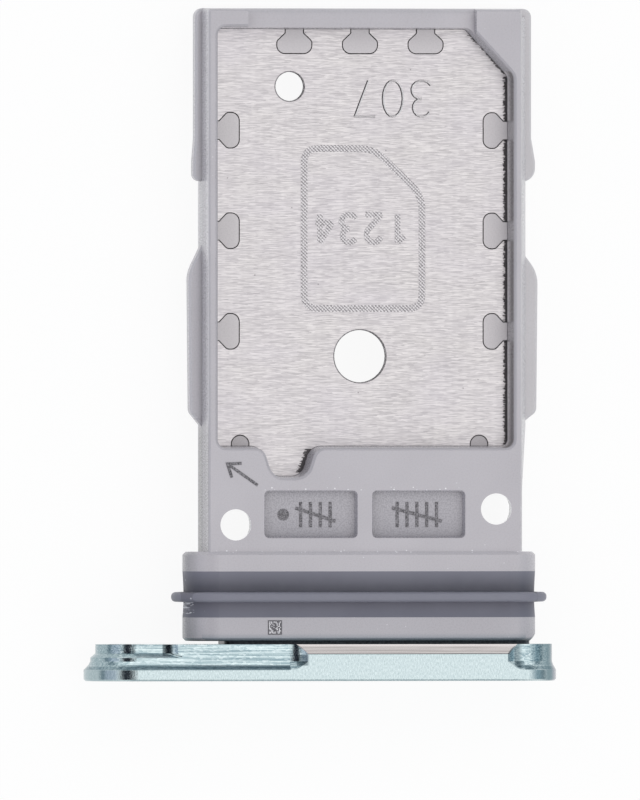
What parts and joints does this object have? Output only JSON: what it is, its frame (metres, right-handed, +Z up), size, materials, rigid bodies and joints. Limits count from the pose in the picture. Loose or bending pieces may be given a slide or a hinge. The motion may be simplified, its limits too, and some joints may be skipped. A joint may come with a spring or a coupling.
{
  "type": "sim card tray",
  "caption": "Slide-in card tray: a moulded frame round a thin steel plate with a card pocket on each face, a seal ring on its collar and a pill-shaped metal cap with an ejector hole.",
  "frame": {"origin": "middle of the box under the tray as it lies flat: half way along its length and width, at the height of the cap's lowest line", "axes": "+X along the cap, away from the ejector hole; +Y from the cap to the far edge, the way the tray slides in; +Z up, square to the card plate"},
  "size_m": [0.0144, 0.0202, 0.0028],
  "materials": {
    "cap_metal": "blasted and anodised, pale green-blue",
    "frame_plastic": "fine matt moulded",
    "plate_steel": "brushed along the width",
    "seal_rubber": "smooth soft"
  },
  "bodies": {
    "root": {"face_cap": "cap_metal", "tray_frame": "frame_plastic", "base_plate": "plate_steel", "seal_ring": "seal_rubber"}
  },
  "joints": []
}
